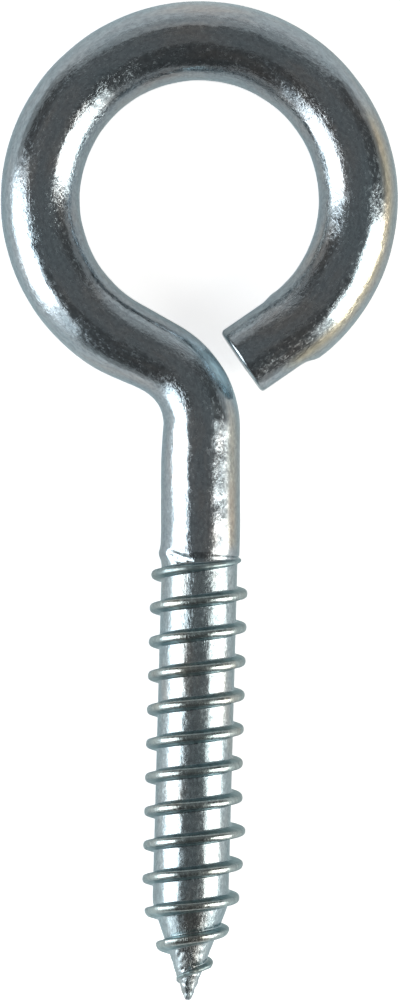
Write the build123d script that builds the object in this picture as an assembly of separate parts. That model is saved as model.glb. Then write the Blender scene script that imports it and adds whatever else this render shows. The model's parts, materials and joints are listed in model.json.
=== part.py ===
"""Screw eye, one piece of bright zinc plated steel wire, in millimetres and degrees.

The wire is cold formed: one end is rolled into a right-hand lag thread with a gimlet point, and
the other is bent round a mandrel into an eye whose cut end stops just short of the neck.

It is drawn upright, point at the origin, thread axis up +Z and eye in the XZ plane. Then it is
laid down as it rests on a table: point towards -Y, eye towards +Y, on its eye and its thread.
"""
from build123d import *
from math import acos, asin, atan2, cos, degrees, floor, hypot, pi, radians, sin, tan
import os

# Wire and eye
wire_dia = 6.67
eye_bore = 20.1  # inside diameter of the eye
neck_inside_r = 3.29  # inside radius of the bend that leans the wire out, over the shank
climb_length = 3.9  # straight wire between that bend and the eye
eye_offset = -0.1  # middle of the eye, sideways from the shank's line
mouth_gap = 1.7  # between the neck and the inner corner of the cut

# Cut end, straight and pinched flat where it was gripped
end_length = 5.56  # of the straight
heel_turn = 7.6  # small bend before it, at the end of the round of the eye
heel_r = 8.0
inner_grip = 0.22  # what the grip presses off the wire's inner side
outer_grip = 0.36  # and off its outer side
grip_length = 4.6  # of each flat, from the cut
cut_round = 0.3  # rounding of the cut's edge
grip_ease = 4.0  # radius of the ramp at the heel end of each flat

# Shank, very slightly bent between thread and neck
plain_length = 10.9  # from the thread's shoulder to the neck bend
lean = 1.55
lean_r = 60.0
lean_start = 1.6  # straight wire left between the thread's shoulder and that bend

# Rolled lag thread, 9 turns to the inch
thread_pitch = 25.4 / 9
thread_length = 37.1  # shoulder to tip
run_out = 1.9  # the ridge sinks away over this length, below the shoulder
thread_phase = -28.4  # where the crest line would cross the tip's plane, from +X towards +Y
root_depth = 0.145  # the root lies this far under the wire's surface
ridge_height = 0.91  # root to crest
flank_angle = 18.0  # each flank, from square to the axis
crest_r = 0.33  # rounding of the crest
shoulder = 0.3  # length of the step from root up to full wire

# Gimlet point
point_angle = 20.0  # half angle of the cone
tip_r = 0.35
ridge_start = 1.5  # where the ridge starts to rise, from the tip
ridge_full = 4.5  # where it is full height

# Worked out from the sizes above
wire_r = wire_dia / 2
root_r = wire_r - root_depth
ring_r = (eye_bore + wire_dia) / 2
neck_r = neck_inside_r + wire_r
apex = tip_r * (1 - 1 / sin(radians(point_angle)))  # of the point's cone, below the tip
point_length = apex + root_r / tan(radians(point_angle))
fade_start = thread_length - run_out

spans_per_turn = 4
crest_facets = 2
bury = 0.4  # how far the ridge reaches into the core, to join it
least_rise = 0.06  # share of the ridge's height and width left where it ends


def core_radius(z):
    """Radius of the thread's root at height z: the point's cone, then the cylinder."""
    return min(root_r, (z - apex) * tan(radians(point_angle)))


def rise(z):
    """The ridge's height at z, as a share of its full height."""
    from_tip = (z - ridge_start) / (ridge_full - ridge_start)
    to_shoulder = (thread_length - z) / run_out
    return max(least_rise, min(1, from_tip, to_shoulder))


def ridge_point(height, offset, z):
    """A point of the ridge's skin, where its crest line is at z.

    height is over the root, and offset is along the axis from the crest line.
    """
    turn = radians(thread_phase) + 2 * pi * z / thread_pitch
    share = rise(z)
    out = core_radius(z) + (height * share if height > 0 else height)
    return Vector(out * cos(turn), out * sin(turn), z + offset * share)


def ridge_edge(height, offset, start, end):
    """One long edge of the ridge between two heights, as a smooth curve.

    Its spans are cubic, and each follows its arc of the helix when the curve's speed is the
    helix's own times 4 tan(arc / 4) / arc.
    """
    span = (end - start) / spans_per_turn
    arc = 2 * pi * span / thread_pitch
    speed = 4 * tan(arc / 4) / arc
    nudge = span / 100  # for taking slopes
    points = []
    tangents = []
    for i in range(spans_per_turn + 1):
        z = start + i * span
        points.append(ridge_point(height, offset, z))
        step = ridge_point(height, offset, z + nudge) - ridge_point(height, offset, z - nudge)
        tangents.append(step * (speed * span / (2 * nudge)))
    return Edge.make_spline(points, tangents, parameters=range(spans_per_turn + 1), scale=False)


def ridge_corners():
    """Section of the ridge, as (height, offset) pairs: buried foot, flank, round crest, foot."""
    crest_centre = ridge_height - crest_r
    swing = 90 - flank_angle
    crest = []
    for i in range(crest_facets + 1):
        angle = radians(swing - 2 * swing * i / crest_facets)
        crest.append((crest_centre + crest_r * cos(angle), crest_r * sin(angle)))
    top_height, top_offset = crest[0]
    foot = top_offset + (top_height + bury) * tan(radians(flank_angle))
    return [(-bury, foot)] + crest + [(-bury, -foot)]


def ridge_turn(start, end):
    """One turn of the ridge, a closed solid with helical faces and its foot in the core."""
    edges = [ridge_edge(height, offset, start, end) for height, offset in ridge_corners()]
    following = edges[1:] + edges[:1]
    faces = [Face.make_surface_from_curves(a, b) for a, b in zip(edges, following)]
    for side in (0, 1):
        outline = Wire([Edge.make_line(a @ side, b @ side) for a, b in zip(edges, following)])
        faces.append(Face(outline))
    return Solid(Shell(faces))


def ridge():
    """The whole ridge, turn by turn from the point to the shoulder."""
    turns = []
    start = ridge_start
    while start < thread_length:
        end = min(start + thread_pitch, thread_length)
        turns.append(ridge_turn(start, end))
        start = end
    return turns


def threaded_core():
    """What carries the ridge: round tip, cone, root cylinder and shoulder."""
    slope = radians(point_angle)
    touch = (tip_r * cos(slope), tip_r * (1 - sin(slope)))  # where the tip's ball meets the cone
    mid = radians(point_angle - 90) / 2
    with BuildPart() as core:
        with BuildSketch(Plane.XZ):
            with BuildLine():
                ThreePointArc((0, 0), (-tip_r * sin(mid), tip_r * (1 - cos(mid))), touch)
                Polyline(
                    touch,
                    (root_r, point_length),
                    (root_r, thread_length - shoulder),
                    (wire_r, thread_length),
                    (0, thread_length),
                    (0, 0),
                )
            make_face()
        revolve(axis=Axis.Z)
    return core.part.solid()


def neck_turn():
    """How far the neck bends, for the middle of the eye to be at its place over the shank."""
    reach = hypot(neck_r + ring_r, climb_length)
    return degrees(acos((neck_r + eye_offset) / reach) - atan2(climb_length, neck_r + ring_r))


def ring_turn():
    """How far the wire curls round the mandrel, to leave mouth_gap between its end and the neck.

    Angles are taken round the middle of the eye: from its start back to the middle of the neck
    bend, from its end on to the cut's inner corner, and between that corner and the neck bend.
    """
    turn = radians(heel_turn)
    inner = wire_r - inner_grip
    ahead = (heel_r - inner) * sin(turn) + end_length * cos(turn)
    out = ring_r - heel_r - end_length * sin(turn) + (heel_r - inner) * cos(turn)
    corner_r = hypot(ahead, out)
    neck_away = hypot(neck_r + ring_r, climb_length)
    clear = neck_r + wire_r + mouth_gap
    apart = acos((corner_r**2 + neck_away**2 - clear**2) / (2 * corner_r * neck_away))
    behind = atan2(climb_length, neck_r + ring_r)
    return 360 - degrees(behind + atan2(ahead, out) + apart)


def centre_line():
    """The plain wire's centre line, from the thread's shoulder to the cut end."""
    shank_length = plain_length - lean_start - lean_r * radians(lean)
    with BuildLine(Plane.XZ) as line:
        foot = Line((0, thread_length), (0, thread_length + lean_start))
        bend = JernArc(foot @ 1, foot % 1, lean_r, lean)
        shank = Line(bend @ 1, bend @ 1 + (bend % 1) * shank_length)
        neck = JernArc(shank @ 1, shank % 1, neck_r, neck_turn())
        climb = Line(neck @ 1, neck @ 1 + (neck % 1) * climb_length)
        ring = JernArc(climb @ 1, climb % 1, ring_r, -ring_turn())
        heel = JernArc(ring @ 1, ring % 1, heel_r, -heel_turn)
        Line(heel @ 1, heel @ 1 + (heel % 1) * end_length)
    return line.wires()[0]


def eye_side(heading):
    """Direction towards the inside of the eye, for wire that runs clockwise round it."""
    return Vector(0, 1, 0).cross(heading)


def grip(depth):
    """Tool that presses one flat: it rounds the flat over at the cut and eases off at the heel.

    It is drawn with the wire's middle on Y, the cut on X and the pressed side towards +X.
    """
    flat = wire_r - depth
    past_cut = mouth_gap / 2
    ease_turn = 60  # takes the ramp clear of the wire
    with BuildPart() as tool:
        with BuildSketch():
            with BuildLine():
                ease = JernArc((flat, -grip_length), (0, -1), grip_ease, ease_turn)
                edge = JernArc((flat, -cut_round), (0, 1), cut_round, 90)
                Line(ease @ 0, edge @ 0)
                Polyline(
                    edge @ 1,
                    (flat - cut_round, past_cut),
                    (wire_dia, past_cut),
                    (wire_dia, (ease @ 1).Y),
                    ease @ 1,
                )
            make_face()
        extrude(amount=wire_r, both=True)
    return tool.part


def plain_wire(path):
    """Shank and eye: round wire swept along its centre line, cut off and pinched."""
    wire = sweep(Plane(path @ 0, z_dir=path % 0) * Circle(wire_r), path)
    cut_edges = wire.faces().sort_by_distance(path @ 1)[0].edges()
    wire = fillet(cut_edges, cut_round)
    inwards = eye_side(path % 1)
    for side, depth in ((inwards, inner_grip), (-inwards, outer_grip)):
        at_cut = Plane(path @ 1, x_dir=side, z_dir=side.cross(path % 1))
        wire -= at_cut * grip(depth)
    return wire.solid()


def resting(body, path):
    """Lay the body down so that the eye's far side and the lowest full crest touch the table."""
    ring = path.edges()[5]
    below = (90 - thread_phase) / 360  # turns from the tip's plane to the first crest at the back
    contact = thread_pitch * (below + floor(fade_start / thread_pitch - below))
    reach = ring.arc_center.Z + ring_r - contact
    tilt = degrees(asin((root_r + ridge_height - wire_r) / reach))
    laid = Rot(-90 - tilt, 0, 0) * body
    box = laid.bounding_box()
    return Pos(-box.center().X, -box.center().Y, -box.min.Z) * laid


path = centre_line()
body = plain_wire(path) + threaded_core() + ridge()
screw_eye = resting(body, path)

os.makedirs("parts", exist_ok=True)
export_step(screw_eye, "parts/screw_eye.step")
print("overall length", round(path.edges()[5].arc_center.Z + ring_r + wire_r, 2))
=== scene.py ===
"""Screw eye of bright zinc plated steel wire, lying on a pale studio floor, seen from above."""
import json
import math

import bpy
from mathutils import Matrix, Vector


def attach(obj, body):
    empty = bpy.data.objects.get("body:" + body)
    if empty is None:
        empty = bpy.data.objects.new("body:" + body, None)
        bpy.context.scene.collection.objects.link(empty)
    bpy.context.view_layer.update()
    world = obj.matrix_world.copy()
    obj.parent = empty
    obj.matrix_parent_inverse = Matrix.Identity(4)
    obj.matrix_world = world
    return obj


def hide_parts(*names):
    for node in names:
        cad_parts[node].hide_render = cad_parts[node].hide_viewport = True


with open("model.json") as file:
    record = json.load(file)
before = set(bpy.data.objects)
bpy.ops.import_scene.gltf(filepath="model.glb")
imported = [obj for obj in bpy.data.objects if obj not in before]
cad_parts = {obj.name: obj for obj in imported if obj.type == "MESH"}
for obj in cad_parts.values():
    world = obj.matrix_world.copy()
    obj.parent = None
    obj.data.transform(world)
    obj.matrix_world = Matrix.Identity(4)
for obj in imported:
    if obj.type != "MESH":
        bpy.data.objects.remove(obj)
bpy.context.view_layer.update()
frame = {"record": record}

# ---------------------------------------------------------------------------------------------
# The screw eye
# One length of mild steel wire. One end is rolled into a right-hand lag thread with a gimlet
# point, the other is curled round a mandrel into an eye and cut off with a pinched end. Then it
# is zinc plated, bright with a faint blue passivation.
# ---------------------------------------------------------------------------------------------
mm = 0.001

wire_dia = 6.67  # in mm, as is the bore
eye_bore = 20.1
wire_r = wire_dia / 2 * mm
ring_bend_r = (eye_bore + wire_dia) / 2 * mm
neck_inside_r = 3.29 * mm
neck_bend_r = neck_inside_r + wire_r
cut_round = 0.3 * mm  # rounding of the cut's edge

# how far each bend turns the wire, in degrees, and the radius of the gentle ones
lean = 1.55
lean_r = 60 * mm
neck_turn = 60.3
ring_turn = 288.1
heel_turn = 7.6
heel_r = 8 * mm

thread_length = 37.1 * mm
thread_pitch = 25.4 / 9 * mm
tip_r = 0.35 * mm
point_angle = math.radians(20)  # half angle of the point's cone

# stretches of the wire from the thread's shoulder on: length, and turn to the left in degrees
stretches = [
    ("foot", 1.6 * mm, 0.0),
    ("lean", lean_r * math.radians(lean), lean),
    ("shank", 7.677 * mm, 0.0),
    ("neck", neck_bend_r * math.radians(neck_turn), neck_turn),
    ("climb", 3.902 * mm, 0.0),
    ("ring", ring_bend_r * math.radians(ring_turn), -ring_turn),
    ("heel", heel_r * math.radians(heel_turn), -heel_turn),
    ("end", 5.559 * mm, 0.0),
]

mounts = {m["name"]: m for m in frame["record"]["mounts"]}
along = -Vector(mounts["thread"]["axis"])
up = Vector(mounts["eye"]["axis"])
shoulder = Vector(mounts["thread"]["pos_m"])

# the centre line, tip first: close rings where the thread is rolled, wider ones elsewhere
line = []
tip = shoulder - along * thread_length
for swing in (4, 14, 26, 38, 50, 62):
    line.append(tip + along * tip_r * (1 - math.cos(math.radians(swing))))
thread_step = 0.072 * mm
past_tip = 0.25 * mm  # where the even steps start
steps = int((thread_length - past_tip) / thread_step)
for i in range(steps + 1):
    line.append(shoulder - along * (thread_length - past_tip) * (1 - i / steps))

heading = 0.0
across = along.cross(up)
spacing = {
    "foot": 0.1 * mm,
    "lean": 0.3 * mm,
    "shank": 0.45 * mm,
    "neck": 0.25 * mm,
    "climb": 0.45 * mm,
    "ring": 0.45 * mm,
    "heel": 0.15 * mm,
    "end": 0.35 * mm,
}
reach = thread_length
for name, length, turn in stretches:
    count = math.ceil(length / spacing[name])
    bend = math.radians(turn) / count
    step = length / count
    chord = step * (math.sin(bend / 2) / (bend / 2) if bend else 1.0)
    if name == "neck":
        neck_start = reach
    for i in range(count):
        heading += bend / 2
        line.append(line[-1] + (along * math.cos(heading) - across * math.sin(heading)) * chord)
        heading += bend / 2
    reach += length
wire_length = reach
# the last of the wire is its rounded cut edge, and then the cut face, as rings of almost no length
ahead = along * math.cos(heading) - across * math.sin(heading)
end_point = line.pop()
while (end_point - line[-1]).dot(ahead) < cut_round:
    line.pop()
for swing in range(0, 91, 15):
    line.append(end_point - ahead * cut_round * (1 - math.sin(math.radians(swing))))
face_step = 0.001 * mm
face_rings = 6
for i in range(1, face_rings + 1):
    line.append(end_point + ahead * face_step * i)

path = bpy.data.curves.new("wire_line", "CURVE")
path.dimensions = "3D"
spline = path.splines.new("POLY")
spline.points.add(len(line) - 1)
for point, place in zip(spline.points, line):
    point.co = (*place, 1.0)
wire = bpy.data.objects.new("screw_eye_wire", path)
bpy.context.scene.collection.objects.link(wire)

# the tree that draws the wire along its line and rolls the thread into it
tree = bpy.data.node_groups.new("rolled_wire", "GeometryNodeTree")
tree.is_modifier = True
sockets = tree.interface
sockets.new_socket("Geometry", in_out="INPUT", socket_type="NodeSocketGeometry")
sockets.new_socket("Geometry", in_out="OUTPUT", socket_type="NodeSocketGeometry")
sizes = {
    "Wire radius": wire_r,
    "Wire length": wire_length,
    "Thread length": thread_length,
    "Thread pitch": thread_pitch,
    "Thread phase": math.radians(-28.4),
    "Root radius": wire_r - 0.145 * mm,
    "Ridge height": 0.91 * mm,
    "Crest radius": 0.38 * mm,
    "Flank angle": math.radians(15),
    "Point slope": math.tan(point_angle),
    "Tip radius": tip_r,
    "Ridge start": 1.5 * mm,
    "Ridge full": 4.5 * mm,
    "Run out": 1.9 * mm,
    "Run out past shoulder": 1.2 * mm,
    "Cut round": cut_round,
    "Inner grip": 0.22 * mm,
    "Outer grip": 0.36 * mm,
    "Grip length": 4.6 * mm,
    "Neck start": neck_start,
    "Neck thinning": 0.4 * mm,
}
for name in sizes:
    sockets.new_socket(name, in_out="INPUT", socket_type="NodeSocketFloat")
sockets.new_socket("Seed", in_out="INPUT", socket_type="NodeSocketInt")
sockets.new_socket("Finish", in_out="INPUT", socket_type="NodeSocketMaterial")


def node(kind, **settings):
    """A new node of the tree, with its settings."""
    made = tree.nodes.new(kind)
    for key, value in settings.items():
        setattr(made, key, value)
    return made


class Field:
    """A number or a direction that varies over the wire. Sums with it add nodes to the tree."""

    def __init__(self, socket):
        self.socket = socket

    def __add__(self, other):
        return sum_of("ADD", self, other)

    def __radd__(self, other):
        return sum_of("ADD", other, self)

    def __sub__(self, other):
        return sum_of("SUBTRACT", self, other)

    def __rsub__(self, other):
        return sum_of("SUBTRACT", other, self)

    def __mul__(self, other):
        return sum_of("MULTIPLY", self, other)

    def __truediv__(self, other):
        return sum_of("DIVIDE", self, other)


def feed(made, slots, values):
    """Give a node's inputs their values, which are numbers or fields."""
    for slot, value in zip(slots, values):
        if isinstance(value, Field):
            tree.links.new(value.socket, made.inputs[slot])
        else:
            made.inputs[slot].default_value = value


def sum_of(operation, *values):
    made = node("ShaderNodeMath", operation=operation)
    feed(made, range(3), values)
    return Field(made.outputs[0])


def vector_sum(operation, *values, result=0):
    made = node("ShaderNodeVectorMath", operation=operation)
    feed(made, range(3), values)
    return Field(made.outputs[result])


def scaled(direction, amount):
    """A direction, made as long as the amount."""
    made = node("ShaderNodeVectorMath", operation="SCALE")
    tree.links.new(direction.socket, made.inputs[0])
    feed(made, ["Scale"], [amount])
    return Field(made.outputs[0])


def dot(a, b):
    return vector_sum("DOT_PRODUCT", a, b, result=1)


def ramp(value, start, end):
    """0 before start, 1 after end, and an even S between."""
    made = node("ShaderNodeMapRange", interpolation_type="SMOOTHSTEP")
    feed(made, ["Value", "From Min", "From Max"], [value, start, end])
    return Field(made.outputs[0])


def chosen(test, if_false, if_true):
    """One of two numbers, place by place."""
    made = node("GeometryNodeSwitch", input_type="FLOAT")
    feed(made, ["Switch", "False", "True"], [test, if_false, if_true])
    return Field(made.outputs[0])


def below(a, b):
    return sum_of("LESS_THAN", a, b)


entry = node("NodeGroupInput")
size = {name: Field(entry.outputs[name]) for name in sizes}
shift = Field(entry.outputs["Seed"]) * 10.0  # another seed gives other lumps and creases

# what each point of the line knows: its place, its direction and how far it is from the tip
capture = node("GeometryNodeCaptureAttribute", domain="POINT")
capture.capture_items.new("VECTOR", "Centre")
capture.capture_items.new("VECTOR", "Tangent")
capture.capture_items.new("FLOAT", "From tip")
tree.links.new(entry.outputs["Geometry"], capture.inputs[0])
tree.links.new(node("GeometryNodeInputPosition").outputs[0], capture.inputs[1])
tree.links.new(node("GeometryNodeInputTangent").outputs[0], capture.inputs[2])
tree.links.new(node("GeometryNodeSplineParameter").outputs["Length"], capture.inputs[3])
centre = Field(capture.outputs[1])
tangent = Field(capture.outputs[2])
z = Field(capture.outputs[3])

round_wire = node("GeometryNodeCurvePrimitiveCircle")
round_wire.inputs["Resolution"].default_value = 112  # points round the wire
feed(round_wire, ["Radius"], [size["Wire radius"]])
skin = node("GeometryNodeCurveToMesh")
skin.inputs["Fill Caps"].default_value = True
tree.links.new(capture.outputs[0], skin.inputs["Curve"])
tree.links.new(round_wire.outputs[0], skin.inputs["Profile Curve"])

on_skin = Field(node("GeometryNodeInputPosition").outputs[0])
outwards = vector_sum("NORMALIZE", vector_sum("SUBTRACT", on_skin, centre))
right = vector_sum("NORMALIZE", vector_sum("CROSS_PRODUCT", tangent, tuple(up)))
top = vector_sum("CROSS_PRODUCT", right, tangent)
to_right = dot(outwards, right)
to_top = dot(outwards, top)

# ridge: how far each point is from the crest line, measured along the axis
turn = sum_of("ARCTAN2", to_top * -1.0, to_right)
crest_at = size["Thread pitch"] * (turn - size["Thread phase"]) / (2 * math.pi)
# the pitch is a trace longer in the upper thread, and lifts the last crests by this much
crest_lift = 0.17 * mm
crest_at = crest_at + ramp(z, 14 * mm, 34 * mm) * crest_lift
half = size["Thread pitch"] / 2
off = sum_of("WRAP", z - crest_at, half, half * -1.0)
crest_z = z - off
# the rings are drawn together on the crest and its flanks, and further apart in the root. Each
# band is in mm from the crest line on, and each share is its rings' new spacing
crest_band, crest_share = 0.34, 0.74
flank_band, flank_share = 0.68, 0.55
half_pitch = 25.4 / 18
root_band = half_pitch - crest_band - flank_band
root_share = (half_pitch - crest_band * crest_share - flank_band * flank_share) / root_band
span = sum_of("ABSOLUTE", off)
past_crest = sum_of("MAXIMUM", span - crest_band * mm, 0.0)
past_flank = sum_of("MAXIMUM", span - (crest_band + flank_band) * mm, 0.0)
packed = (
    sum_of("MINIMUM", span, crest_band * mm) * crest_share
    + sum_of("MINIMUM", past_crest, flank_band * mm) * flank_share
    + past_flank * root_share
)
past_thread = ramp(z, size["Thread length"] - 0.2 * mm, size["Thread length"] + 1.3 * mm)
in_thread = ramp(z, 0.4 * mm, 0.8 * mm) * (1 - past_thread)
slide = sum_of("SIGN", off) * (packed - span) * in_thread
off = off + slide
z = z + slide

# core: round tip, cone, root, and full wire from the shoulder on
ball_r = size["Tip radius"]
ball = sum_of("SQRT", sum_of("MAXIMUM", z * (ball_r * 2 - z), 0.0))
apex = ball_r * (1 - 1 / math.sin(point_angle))
cone = (z - apex) * size["Point slope"]
point = chosen(below(z, ball_r * (1 - math.sin(point_angle))), cone, ball)
# the step up to full wire is longer on the upper left
slant = sum_of("MAXIMUM", to_right * -1.0, 0.0) * ramp(to_top, -0.4, 0.3)
step_start = size["Thread length"] + 0.1 * mm - slant * (0.5 * mm)
step_end = size["Thread length"] + 0.42 * mm + slant * (0.2 * mm)
shoulder_rise = ramp(z, step_start, step_end)
body = size["Root radius"] + (size["Wire radius"] - size["Root radius"]) * shoulder_rise
cone_blend = 0.3 * mm  # rounds the change from the cone to the root
tip_only = 1.0 * mm  # and up to here there is only the point
core = sum_of("SMOOTH_MIN", point, body, cone_blend)
core = chosen(below(z, tip_only), core, point)

# the ridge's section: a crest rounded off as a flattened circle, on two steep flanks
rising = ramp(crest_z, size["Ridge start"] - 0.8 * mm, size["Ridge full"] - 0.2 * mm)
sinking = ramp(
    crest_z,
    size["Thread length"] - size["Run out"],
    size["Thread length"] + size["Run out past shoulder"],
)
share = sum_of("MINIMUM", rising, 1 - sinking)
least_width = 0.05
width = sum_of("MAXIMUM", share, least_width)
away = sum_of("ABSOLUTE", off) / width
crest_r = size["Crest radius"]
flank_sin = sum_of("SINE", size["Flank angle"])
flank_cos = sum_of("COSINE", size["Flank angle"])
crest_out = sum_of("MINIMUM", away / crest_r, 1.0)
flattening = 2.4  # 2 would be a true circle
crest_up = sum_of("POWER", 1 - sum_of("POWER", crest_out, flattening), 1 / flattening)
arc = size["Ridge height"] - crest_r * (1 - crest_up)
flank_top = size["Ridge height"] - crest_r * (1 - flank_sin)
flank = flank_top - (away - crest_r * flank_cos) * (flank_cos / flank_sin)
profile = chosen(below(away, crest_r * flank_cos), flank, arc)
root_fillet = 0.2 * mm
ridge = sum_of("SMOOTH_MAX", profile, 0.0, root_fillet) * share
# rolled too high on the right, some way up
proud_share = 0.4
on_right = sum_of("MAXIMUM", to_right, 0.0)
proud = ramp(z, 8 * mm, 14 * mm) * (1 - ramp(z, 14.5 * mm, 18 * mm)) * on_right
radius = core + ridge * (1 + proud * proud_share)


def hump(value, middle, reach):
    """1 at the middle, 0.37 at this reach from it, and 0 well away."""
    x = (value - middle) / reach
    return sum_of("EXPONENT", x * x * -1.0)


# metal rolled over at the shoulder, in a lip on the left
lip_height = 0.18 * mm
lip_reach = 0.55 * mm
on_left = ramp(to_right * -1.0, 0.55, 1.0)
lip_z = size["Thread length"] + 0.2 * mm
radius = radius + hump(z, lip_z, lip_reach) * on_left * lip_height

# cut end: rounded edge, and the face closed by rings that have almost no length
from_cut = size["Wire length"] - z
edge_depth = sum_of("MAXIMUM", size["Cut round"] - from_cut, 0.0)
edge_depth = sum_of("MINIMUM", edge_depth, size["Cut round"])
squared = size["Cut round"] * size["Cut round"] - edge_depth * edge_depth
edge_in = size["Cut round"] - sum_of("SQRT", sum_of("MAXIMUM", squared, 0.0))
ring_gap = 0.5 * mm  # between the rings on the face
face_in = sum_of("MAXIMUM", from_cut * -1.0, 0.0) * (ring_gap / face_step)
radius = radius - edge_in - face_in

# the drawn and bent wire is never quite even
lump_length = 4.5 * mm
lump_height = 0.12 * mm
lumps = node("ShaderNodeTexNoise")
lumps.inputs["Scale"].default_value = 1.0
lumps.inputs["Detail"].default_value = 2.0
spot = node("ShaderNodeCombineXYZ")
feed(spot, range(3), [to_right * 0.7, to_top * 0.7, z / lump_length + shift])
tree.links.new(spot.outputs[0], lumps.inputs["Vector"])
uneven = Field(lumps.outputs[0]) - 0.5
calm = ramp(z, size["Thread length"] - 2 * mm, size["Thread length"] + 3 * mm)
radius = radius + uneven * calm * lump_height

# and the point comes out of the dies crumpled
crease_size = 0.55 * mm
crease_depth = 0.3 * mm
creases = node("ShaderNodeTexNoise")
creases.inputs["Scale"].default_value = 1.0
creases.inputs["Detail"].default_value = 1.5
spot = node("ShaderNodeCombineXYZ")
across_point = radius / crease_size
feed(
    spot,
    range(3),
    [to_right * across_point, to_top * across_point, z / crease_size + shift],
)
tree.links.new(spot.outputs[0], creases.inputs["Vector"])
on_point = (1 - ramp(z, 1.5 * mm, 6.5 * mm)) * ramp(z, 0.1 * mm, 0.5 * mm)
crumple = (Field(creases.outputs[0]) - 0.5) * on_point
radius = radius + crumple * crease_depth

x = to_right * radius
y = to_top * radius

# the bite of the dies' end, a slanting flat above the last of the ridge
bite_lean = math.radians(27)
bite_from_axis = 3.03 * mm
bite_slant = slant * (1.25 * mm)  # it reaches further up on the left
fold_pitch = 0.45 * mm
fold_height = 0.03 * mm
bite_depth = x * -math.sin(bite_lean) + y * math.cos(bite_lean) - bite_from_axis
bite_top = size["Thread length"] - 0.3 * mm + bite_slant
folds = sum_of("SINE", (z - bite_slant) * (2 * math.pi / fold_pitch))
bite = (
    sum_of("MAXIMUM", bite_depth + folds * fold_height, 0.0)
    * (1 - ramp(z, bite_top - 0.08 * mm, bite_top + 0.08 * mm))
    * ramp(z, size["Thread length"] - 1.4 * mm, size["Thread length"] - 1.0 * mm)
    * ramp(sum_of("ABSOLUTE", off), 0.3 * mm, 0.6 * mm)
)
x = x + bite * math.sin(bite_lean)
y = y - bite * math.cos(bite_lean)

# pinched flats, whose planes stand clear of the round wire before the grip, and of the ridge
grip_start = size["Wire length"] - size["Grip length"]
pinch = ramp(z, grip_start - 1.6 * mm, grip_start + 0.4 * mm)
shrink = edge_in + face_in
over_thread = 1 - ramp(z, size["Thread length"] + 2 * mm, size["Thread length"] + 10 * mm)
clear_of_wire = 0.25 * mm
clear_of_ridge = 2 * mm
clear = (1 - pinch) * clear_of_wire + over_thread * clear_of_ridge
inner = size["Wire radius"] - size["Inner grip"] * pinch - shrink + clear
outer = size["Wire radius"] - size["Outer grip"] * pinch - shrink + clear
flat_edge = 0.15 * mm  # softness of the flats' edges
x = sum_of("SMOOTH_MIN", x, inner, flat_edge)
x = sum_of("SMOOTH_MAX", x, outer * -1.0, flat_edge)

# the wire comes out of the bending thinner on the inside of the neck
into_neck = ramp(z, size["Neck start"] - 4.0 * mm, size["Neck start"] + 4.5 * mm)
out_of_neck = ramp(z, size["Neck start"] + 6.5 * mm, size["Neck start"] + 12 * mm)
neck = into_neck * (1 - out_of_neck)
inside = sum_of("MAXIMUM", to_right * -1.0, 0.0)
x = x + size["Neck thinning"] * neck * inside * inside

place = vector_sum("ADD", centre, vector_sum("ADD", scaled(right, x), scaled(top, y)))
place = vector_sum("ADD", place, scaled(tangent, slide))
shaped = node("GeometryNodeSetPosition")
tree.links.new(skin.outputs[0], shaped.inputs["Geometry"])
tree.links.new(place.socket, shaped.inputs["Position"])
# the ring at the tip has shrunk to nothing, and becomes one corner
merge_distance = 0.0001 * mm
closed = node("GeometryNodeMergeByDistance")
closed.inputs["Distance"].default_value = merge_distance
tree.links.new(shaped.outputs[0], closed.inputs["Geometry"])

# the grain of the drawn wire, in millimetres: round the wire, and along it
grain = node("ShaderNodeCombineXYZ")
feed(grain, range(3), [to_right * (wire_r / mm), to_top * (wire_r / mm), z / mm])
keep = node("GeometryNodeStoreNamedAttribute", data_type="FLOAT_VECTOR", domain="POINT")
keep.inputs["Name"].default_value = "grain"
tree.links.new(closed.outputs[0], keep.inputs["Geometry"])
tree.links.new(grain.outputs[0], keep.inputs["Value"])

# and how far up the ridge each place is, from 0 at its root to 1 at its crest
on_ridge = ridge / size["Ridge height"]
mark = node("GeometryNodeStoreNamedAttribute", data_type="FLOAT", domain="POINT")
mark.inputs["Name"].default_value = "ridge"
tree.links.new(keep.outputs[0], mark.inputs["Geometry"])
tree.links.new(on_ridge.socket, mark.inputs["Value"])

# a straw tint runs along the shank and the eye, and a pale blue painted reflection lies outside
# the neck: 1 is straw, 0.5 is clear and 0 is the painted reflection
on_shank = ramp(z, 37.6 * mm, 38.6 * mm) * (1 - ramp(z, 50 * mm, 52 * mm))
on_ring = ramp(z, 107 * mm, 111 * mm) * (1 - ramp(z, 128 * mm, 131 * mm))
on_neck = hump(z, 51.4 * mm, 2.1 * mm)
shank_straw = hump(to_right, 0.8, 0.12) * on_shank * 0.3
ring_straw = hump(to_right, -0.74, 0.13) * on_ring * 0.5
# painted reflection: a pale blue patch on the outer side of the neck
neck_painted_reflection = hump(to_right, 0.84, 0.17) * on_neck * 0.5
tint_and_painted_reflection = node("GeometryNodeStoreNamedAttribute", data_type="FLOAT", domain="POINT")
tint_and_painted_reflection.inputs["Name"].default_value = "tint_and_painted_reflection"
tree.links.new(mark.outputs[0], tint_and_painted_reflection.inputs["Geometry"])
tint_and_painted_reflection_at = 0.5 + shank_straw + ring_straw - neck_painted_reflection
tree.links.new(tint_and_painted_reflection_at.socket, tint_and_painted_reflection.inputs["Value"])

smooth = node("GeometryNodeSetShadeSmooth")
tree.links.new(tint_and_painted_reflection.outputs[0], smooth.inputs["Geometry"])
real = node("GeometryNodeRealizeInstances")
tree.links.new(smooth.outputs[0], real.inputs[0])
finish = node("GeometryNodeSetMaterial")
tree.links.new(real.outputs[0], finish.inputs["Geometry"])
tree.links.new(entry.outputs["Finish"], finish.inputs["Material"])
tree.links.new(finish.outputs[0], node("NodeGroupOutput").inputs[0])

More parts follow.
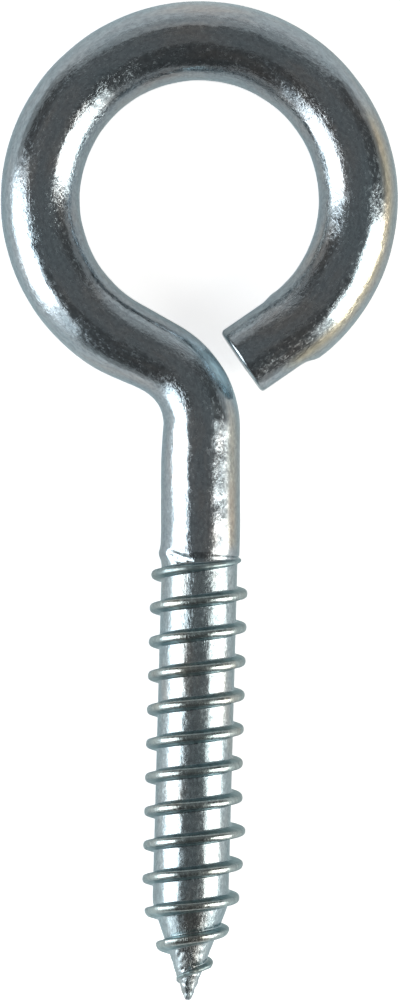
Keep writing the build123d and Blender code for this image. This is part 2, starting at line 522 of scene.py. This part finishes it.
# bright zinc, with a cloudy tone, fine flecks and the faint lines of the drawn wire
zinc = bpy.data.materials.new("bright_zinc")
zinc.use_nodes = True
nodes = zinc.node_tree.nodes
links = zinc.node_tree.links
metal = nodes["Principled BSDF"]
grain_in = nodes.new("ShaderNodeAttribute")
grain_in.attribute_name = "grain"


def noise(scale, detail, rough, stretch=(1, 1, 1)):
    """Noise of so many spots to the millimetre. A stretch under 1 draws it out along the wire."""
    mapping = nodes.new("ShaderNodeMapping")
    mapping.inputs["Scale"].default_value = stretch
    links.new(grain_in.outputs["Vector"], mapping.inputs["Vector"])
    made = nodes.new("ShaderNodeTexNoise")
    made.inputs["Scale"].default_value = scale
    made.inputs["Detail"].default_value = detail
    made.inputs["Roughness"].default_value = rough
    links.new(mapping.outputs[0], made.inputs["Vector"])
    return made.outputs["Fac"]


def colour_ramp(value, stops):
    """The colour at a value, between stops of a place and a colour."""
    made = nodes.new("ShaderNodeValToRGB")
    while len(made.color_ramp.elements) < len(stops):
        made.color_ramp.elements.new(0.5)
    for element, (place, colour) in zip(made.color_ramp.elements, stops):
        element.position = place
        element.color = (*colour, 1.0)
    links.new(value, made.inputs["Fac"])
    return made.outputs["Color"]


def mixed(kind, amount, first, second):
    """Two colours mixed by an amount, which may be a number or a socket."""
    made = nodes.new("ShaderNodeMix")
    made.data_type = "RGBA"
    made.blend_type = kind
    for slot, value in ((0, amount), (6, first), (7, second)):
        if isinstance(value, (float, tuple)):
            made.inputs[slot].default_value = value
        else:
            links.new(value, made.inputs[slot])
    return made.outputs[2]


def spread(value, low, high, to_low, to_high):
    """A value between low and high spread out to another range, and held at its ends."""
    made = nodes.new("ShaderNodeMapRange")
    links.new(value, made.inputs["Value"])
    names = ("From Min", "From Max", "To Min", "To Max")
    for name, number in zip(names, (low, high, to_low, to_high)):
        made.inputs[name].default_value = number
    return made.outputs[0]


blue_grey = (0.35, 0.425, 0.46)
zinc_grey = (0.38, 0.43, 0.455)
warm_grey = (0.43, 0.435, 0.43)
clouds = noise(0.35, 4, 0.6, (1, 1, 0.35))
tone = colour_ramp(clouds, [(0.34, blue_grey), (0.52, zinc_grey), (0.68, warm_grey)])
dark_fleck = (0.7, 0.7, 0.72)
pale_fleck = (1.06, 1.06, 1.06)
fine = noise(3.6, 6, 0.75, (1, 1, 0.6))
flecks = colour_ramp(fine, [(0.36, dark_fleck), (0.6, pale_fleck)])
tone = mixed("MULTIPLY", 1.0, tone, flecks)

# painted shade and highlight: the thread's flanks are painted darker than its root, for the shade
# between the ridges, and its crest is painted a little warmer to tint its highlight
unchanged = (1.0, 1.0, 1.0)
low_flank_painted_shade = (0.78, 0.88, 0.87)
high_flank_painted_shade = (0.72, 0.76, 0.74)
crest_painted_highlight_tint = (1.0, 0.98, 0.92)
ridge_in = nodes.new("ShaderNodeAttribute")
ridge_in.attribute_name = "ridge"
ridge_painted_shade_and_highlight = colour_ramp(
    ridge_in.outputs["Fac"],
    [(0.05, unchanged), (0.3, low_flank_painted_shade), (0.85, high_flank_painted_shade), (1.0, crest_painted_highlight_tint)],
)
tone = mixed("MULTIPLY", 1.0, tone, ridge_painted_shade_and_highlight)

# painted reflection: outside the neck the zinc is painted pale cyan, brighter than the metal
# around it
painted_reflection_blue = (1.6, 2.0, 2.15)
straw = (1.25, 1.0, 0.72)
tint_and_painted_reflection_in = nodes.new("ShaderNodeAttribute")
tint_and_painted_reflection_in.attribute_name = "tint_and_painted_reflection"
tinted_and_painted_reflection = colour_ramp(
    tint_and_painted_reflection_in.outputs["Fac"], [(0.0, painted_reflection_blue), (0.5, unchanged), (1.0, straw)]
)
tone = mixed("MULTIPLY", 1.0, tone, tinted_and_painted_reflection)

# the rolled part is a trace paler and more satin than the drawn part
rolled_tone = (1.03, 1.06, 1.04, 1.0)
rolled_mm = thread_length / mm
split = nodes.new("ShaderNodeSeparateXYZ")
links.new(grain_in.outputs["Vector"], split.inputs[0])
in_rolled = spread(split.outputs["Z"], rolled_mm - 0.6, rolled_mm + 0.2, 1.0, 0.0)
tone = mixed("MULTIPLY", in_rolled, tone, rolled_tone)
links.new(tone, metal.inputs["Base Color"])
rolled = spread(split.outputs["Z"], rolled_mm - 1.5, rolled_mm + 1.5, 0.08, 0.0)

# what the flanks, the painted reflection outside the neck and the dull specks add to the roughness
# of the polished zinc
none = (0.0, 0.0, 0.0)
flanks = colour_ramp(
    ridge_in.outputs["Fac"],
    [(0.03, none), (0.2, (0.2, 0.2, 0.2)), (0.75, (0.14, 0.14, 0.14)), (0.95, none)],
)
painted_reflection_rough = colour_ramp(tint_and_painted_reflection_in.outputs["Fac"], [(0.0, (0.4, 0.4, 0.4)), (0.4, none)])
rough = spread(noise(2.0, 6, 0.65), 0.3, 0.7, 0.07, 0.20)
dull_specks = spread(noise(4.5, 4, 0.65, (1, 1, 0.6)), 0.5, 0.68, 0.0, 0.2)
for more in (rolled, flanks, painted_reflection_rough, dull_specks):
    gloss = nodes.new("ShaderNodeMath")
    gloss.operation = "ADD"
    links.new(rough, gloss.inputs[0])
    links.new(more, gloss.inputs[1])
    rough = gloss.outputs[0]
links.new(rough, metal.inputs["Roughness"])
# the painted reflection outside the neck is made only partly metallic, so that it shows as a pale
# patch
metallic = spread(tint_and_painted_reflection_in.outputs["Fac"], 0.0, 0.45, 0.3, 1.0)
links.new(metallic, metal.inputs["Metallic"])


def bump(height, distance, under=None):
    """Bumps of a height up to this distance, on top of those under them."""
    made = nodes.new("ShaderNodeBump")
    made.inputs["Strength"].default_value = 1.0
    made.inputs["Distance"].default_value = distance
    links.new(height, made.inputs["Height"])
    if under:
        links.new(under, made.inputs["Normal"])
    return made.outputs[0]


waves = bump(noise(0.7, 2, 0.45, (1, 1, 0.7)), 0.065 * mm)
draw_lines = bump(noise(3.0, 3, 0.5, (1, 1, 0.08)), 0.005 * mm, waves)
# small specks, in patches
worn = nodes.new("ShaderNodeMath")
worn.operation = "MULTIPLY"
links.new(spread(noise(5.5, 3, 0.6, (1, 1, 0.5)), 0.45, 0.75, 0.0, 1.0), worn.inputs[0])
links.new(spread(noise(0.22, 3, 0.6, (1, 1, 0.5)), 0.45, 0.62, 0.2, 1.0), worn.inputs[1])
specks = bump(worn.outputs[0], 0.015 * mm, draw_lines)
links.new(specks, metal.inputs["Normal"])
edge_blue = (0.8, 0.92, 0.95, 1.0)
metal.inputs["Specular Tint"].default_value = edge_blue

# the tree is run once, and what it draws is kept as a plain mesh
modifier = wire.modifiers.new("rolled_wire", "NODES")
modifier.node_group = tree
for item in tree.interface.items_tree:
    if item.in_out == "INPUT" and item.name in sizes:
        modifier[item.identifier] = sizes[item.name]
    if item.in_out == "INPUT" and item.name == "Seed":
        modifier[item.identifier] = 0
    if item.in_out == "INPUT" and item.name == "Finish":
        modifier[item.identifier] = zinc
bpy.context.view_layer.update()
drawn = wire.evaluated_get(bpy.context.evaluated_depsgraph_get())
mesh = bpy.data.meshes.new_from_object(drawn)
mesh.name = "screw_eye_zinc"
screw_eye = bpy.data.objects.new("screw_eye_zinc", mesh)
bpy.context.scene.collection.objects.link(screw_eye)
bpy.data.objects.remove(wire)

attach(screw_eye, "root")
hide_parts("screw_eye")

# ---------------------------------------------------------------------------------------------
# The floor
# A round sheet of white paper that the screw eye lies on, curved up at its edge. It is matt, and
# glows by itself where it is seen, so that it stays white under soft lamps and keeps the shadow.
# ---------------------------------------------------------------------------------------------
scene = bpy.context.scene
scene.view_settings.view_transform = "Standard"

floor_mesh = bpy.data.meshes.new("floor")
rings = [(2.2, 0.0), (2.6, 0.06), (2.9, 0.3), (3.0, 0.9)]  # how far out, and how high
around = 48
corners = [(0, 0, 0)]
sides = []
for r, (out, height) in enumerate(rings):
    this_ring = 1 + r * around
    ring_before = this_ring - around
    for i in range(around):
        angle = 2 * math.pi * i / around
        corners.append((out * math.cos(angle), out * math.sin(angle), height))
        j = (i + 1) % around
        if r == 0:
            sides.append((0, 1 + i, 1 + j))
        else:
            sides.append((ring_before + i, this_ring + i, this_ring + j, ring_before + j))
floor_mesh.from_pydata(corners, [], sides)
floor = bpy.data.objects.new("floor", floor_mesh)
scene.collection.objects.link(floor)

paper = bpy.data.materials.new("floor_paper")
paper.use_nodes = True


def paper_sum(operation, first, second):
    """A sum in the paper's material, of numbers or sockets."""
    made = paper.node_tree.nodes.new("ShaderNodeMath")
    made.operation = operation
    for slot, value in enumerate((first, second)):
        if isinstance(value, float):
            made.inputs[slot].default_value = value
        else:
            paper.node_tree.links.new(value, made.inputs[slot])
    return made.outputs[0]


glow_seen = 0.74
glow_mirrored = 0.27  # in the metal
surface = paper.node_tree.nodes["Principled BSDF"]
surface.inputs["Base Color"].default_value = (0.8, 0.8, 0.8, 1)
surface.inputs["Roughness"].default_value = 0.9
surface.inputs["Specular IOR Level"].default_value = 0.0
surface.inputs["Emission Color"].default_value = (1, 1, 1, 1)
ray = paper.node_tree.nodes.new("ShaderNodeLightPath").outputs
mirrored = paper_sum("MAXIMUM", ray["Is Glossy Ray"], ray["Is Transmission Ray"])
mirrored = paper_sum("MULTIPLY", mirrored, glow_mirrored)
direct = paper_sum("MULTIPLY", ray["Is Camera Ray"], glow_seen)
glow = paper_sum("MAXIMUM", mirrored, direct)
paper.node_tree.links.new(glow, surface.inputs["Emission Strength"])
floor_mesh.materials.append(paper)

# ---------------------------------------------------------------------------------------------
# The lights
# Upright softboxes stand left and right of the table, each in front of a larger dim one that
# stands for its spill, with a pale card at the back. Sheets of dark felt hang overhead.
# ---------------------------------------------------------------------------------------------
world = bpy.data.worlds.new("studio")
scene.world = world
world.use_nodes = True
air = world.node_tree.nodes["Background"]
air.inputs["Color"].default_value = (1, 0.99, 0.98, 1)
air.inputs["Strength"].default_value = 0.12

# felt over the table, that only the metal sees: grey overhead, and nearly black from there on.
# Each has its two edges across the table, and how much light it sends back
felts = [("grey_felt", 0.46, -0.05, 0.17), ("black_felt", -0.05, -3.0, 0.06)]
felt_side = 0.43  # half its width
felt_height = 0.5
for name, near, far, level in felts:
    felt_mesh = bpy.data.meshes.new(name)
    felt_corners = [(-felt_side, far), (felt_side, far), (felt_side, near), (-felt_side, near)]
    felt_mesh.from_pydata([(*c, felt_height) for c in felt_corners], [], [(0, 1, 2, 3)])
    felt = bpy.data.objects.new(name, felt_mesh)
    scene.collection.objects.link(felt)
    cloth = bpy.data.materials.new(name)
    cloth.use_nodes = True
    cloth_surface = cloth.node_tree.nodes["Principled BSDF"]
    cloth_surface.inputs["Base Color"].default_value = (0.02, 0.02, 0.02, 1)
    cloth_surface.inputs["Roughness"].default_value = 1.0
    cloth_surface.inputs["Emission Color"].default_value = (0.97, 0.99, 1, 1)
    cloth_surface.inputs["Emission Strength"].default_value = level
    felt_mesh.materials.append(cloth)
    felt.visible_camera = False
    felt.visible_shadow = False
    felt.visible_diffuse = False


def softbox(name, place, facing, front, strength, colour=(1, 1, 1)):
    """A lamp with a rectangular front, as bright all over as its strength says."""
    lamp = bpy.data.lights.new(name, "AREA")
    lamp.shape = "RECTANGLE"
    lamp.size, lamp.size_y = front
    lamp.energy = strength * math.pi * front[0] * front[1]
    lamp.color = colour
    made = bpy.data.objects.new(name, lamp)
    made.location = place
    made.rotation_euler = Vector(facing).to_track_quat("-Z", "Y").to_euler()
    made.visible_camera = False
    scene.collection.objects.link(made)


cool = (0.93, 0.97, 1)
warm = (1, 0.97, 0.92)
softbox("left_softbox", (-0.5, -0.13, 0.31), (1, 0, 0), (0.40, 0.58), 3.8, cool)
softbox("left_spill", (-0.51, -0.18, 0.29), (1, 0, 0), (0.62, 0.60), 1.1, cool)
softbox("right_softbox", (0.5, -0.17, 0.3), (-1, 0, 0), (0.36, 0.59), 5.0, warm)
softbox("right_spill", (0.51, -0.22, 0.3), (-1, 0, 0), (0.54, 0.62), 0.8, warm)
softbox("back_card", (0, 0.5, 0.24), (0, -1, 0), (0.9, 0.48), 0.4)

# ---------------------------------------------------------------------------------------------
# The camera
# It looks straight down on the middle of the screw eye, turned by the small lean between thread
# and shank, so that the shank stands upright in the view.
# ---------------------------------------------------------------------------------------------
roll = math.radians(lean)
distance = 0.6
view_height = 0.08411  # what it takes in, at the height of the wire's middle
film_height = 36
middle_x, middle_y, wire_middle = 0.7427 * mm, 0.0221 * mm, 0.0038
camera = bpy.data.cameras.new("camera")
camera.lens = film_height * distance / view_height
camera.clip_start = 0.01
camera.clip_end = 20
eye_point = bpy.data.objects.new("camera", camera)
eye_point.location = (middle_x, middle_y, wire_middle + distance)
eye_point.rotation_euler = (0, 0, roll)
scene.collection.objects.link(eye_point)
scene.camera = eye_point
